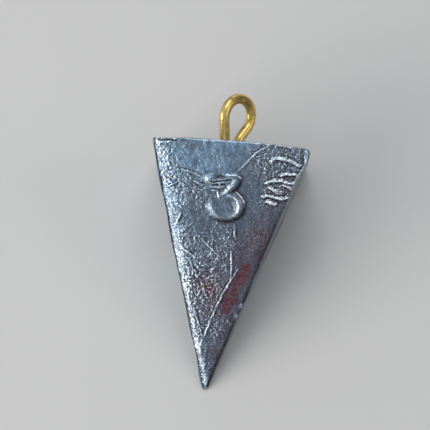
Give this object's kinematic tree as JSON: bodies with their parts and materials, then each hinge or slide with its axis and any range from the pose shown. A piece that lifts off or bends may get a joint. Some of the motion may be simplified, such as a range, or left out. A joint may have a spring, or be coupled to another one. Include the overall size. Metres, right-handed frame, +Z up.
{
  "type": "fishing sinker",
  "caption": "Cast lead pyramid sinker with a brass wire eye set into its base; it anchors a fishing line in sand or current.",
  "frame": {"origin": "middle of the flat side that the sinker lies on, on the supporting surface", "axes": "+Z up, +Y from the point towards the base and the eye, +X to the right of the weight mark as it is read"},
  "size_m": [0.024, 0.0444, 0.0231],
  "materials": {
    "cast_lead": "as-cast lead, dull blue-grey with bright rubbed edges and casting wrinkles",
    "brass_wire": "drawn brass wire, slightly tarnished"
  },
  "bodies": {
    "root": {"lead_body": "cast_lead", "wire_eye": "brass_wire"}
  },
  "joints": []
}
